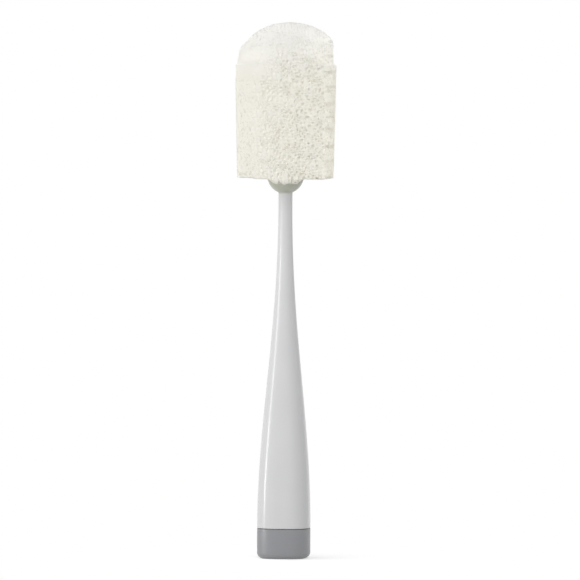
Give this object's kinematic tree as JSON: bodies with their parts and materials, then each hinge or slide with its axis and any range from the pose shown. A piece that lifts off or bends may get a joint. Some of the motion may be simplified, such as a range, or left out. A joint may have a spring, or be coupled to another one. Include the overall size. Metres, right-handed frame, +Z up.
{
  "type": "cup brush",
  "caption": "Long-handled cup washing brush with a domed square foam head on a barbed core, a tapered white handle and a weighted foot in a soft grey boot, free-standing.",
  "frame": {"origin": "middle of the boot's flat underside, on the surface that the brush stands on", "axes": "+Z up along the handle to the head; X and Y across the flats of the foot and of the foam block, which line up"},
  "size_m": [0.0464, 0.0464, 0.268],
  "materials": {
    "handle_plastic": "satin",
    "boot_rubber": "matte",
    "inner_plastic": "satin",
    "seal_rubber": "matte",
    "ballast_steel": "satin",
    "foam": "matte"
  },
  "bodies": {
    "handle": {"handle_shell": "handle_plastic", "foot_boot": "boot_rubber", "foot_plug": "inner_plastic", "ballast": "ballast_steel", "plug_seal": "seal_rubber"},
    "head": {"sponge": "foam", "sponge_core": "inner_plastic", "core_oring": "seal_rubber"}
  },
  "joints": [
    {"name": "head_pull", "type": "slide", "parent": "handle", "child": "head", "axis": [0, 0, 1], "range_m": [0, 0.03]}
  ]
}
